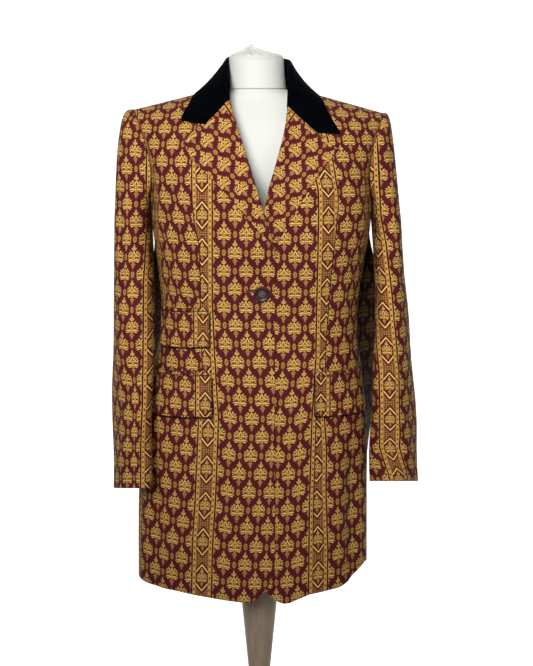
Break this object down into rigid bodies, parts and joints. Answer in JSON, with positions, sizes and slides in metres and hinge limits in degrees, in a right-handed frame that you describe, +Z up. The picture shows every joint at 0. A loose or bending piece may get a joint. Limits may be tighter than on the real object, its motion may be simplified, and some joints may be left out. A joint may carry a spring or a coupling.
{
  "type": "blazer on dress form stand",
  "caption": "Long tailored blazer in a palmette print with notch lapels, velvet collar and flap pockets, worn by a limbless dress form on a round-based stand.",
  "frame": {"origin": "centre of the round base's underside, on the floor", "axes": "+Z is up, the jacket's front faces -Y, and the wearer's right is at -X"},
  "size_m": [0.4772, 0.38, 1.4635],
  "materials": {
    "print_cloth": "matt woven print, gold palmettes on maroon",
    "velvet": "black velvet pile",
    "horn": "polished brown horn look",
    "jersey": "cream jersey cover",
    "stand": "grey-beige paint, satin"
  },
  "bodies": {
    "root": {"front_right": "print_cloth", "front_left": "print_cloth", "back": "print_cloth", "sleeve_right_top": "print_cloth", "sleeve_right_under": "print_cloth", "sleeve_left_top": "print_cloth", "sleeve_left_under": "print_cloth", "lapel_right": "print_cloth", "lapel_left": "print_cloth", "collar": "velvet", "flap_ticket_right": "print_cloth", "flap_right": "print_cloth", "flap_left": "print_cloth", "welt_ticket_right": "print_cloth", "welt_right": "print_cloth", "welt_left": "print_cloth", "button": "horn", "form_torso": "jersey", "form_neck_cap": "jersey", "stand_post": "stand", "stand_base": "stand"}
  },
  "joints": []
}
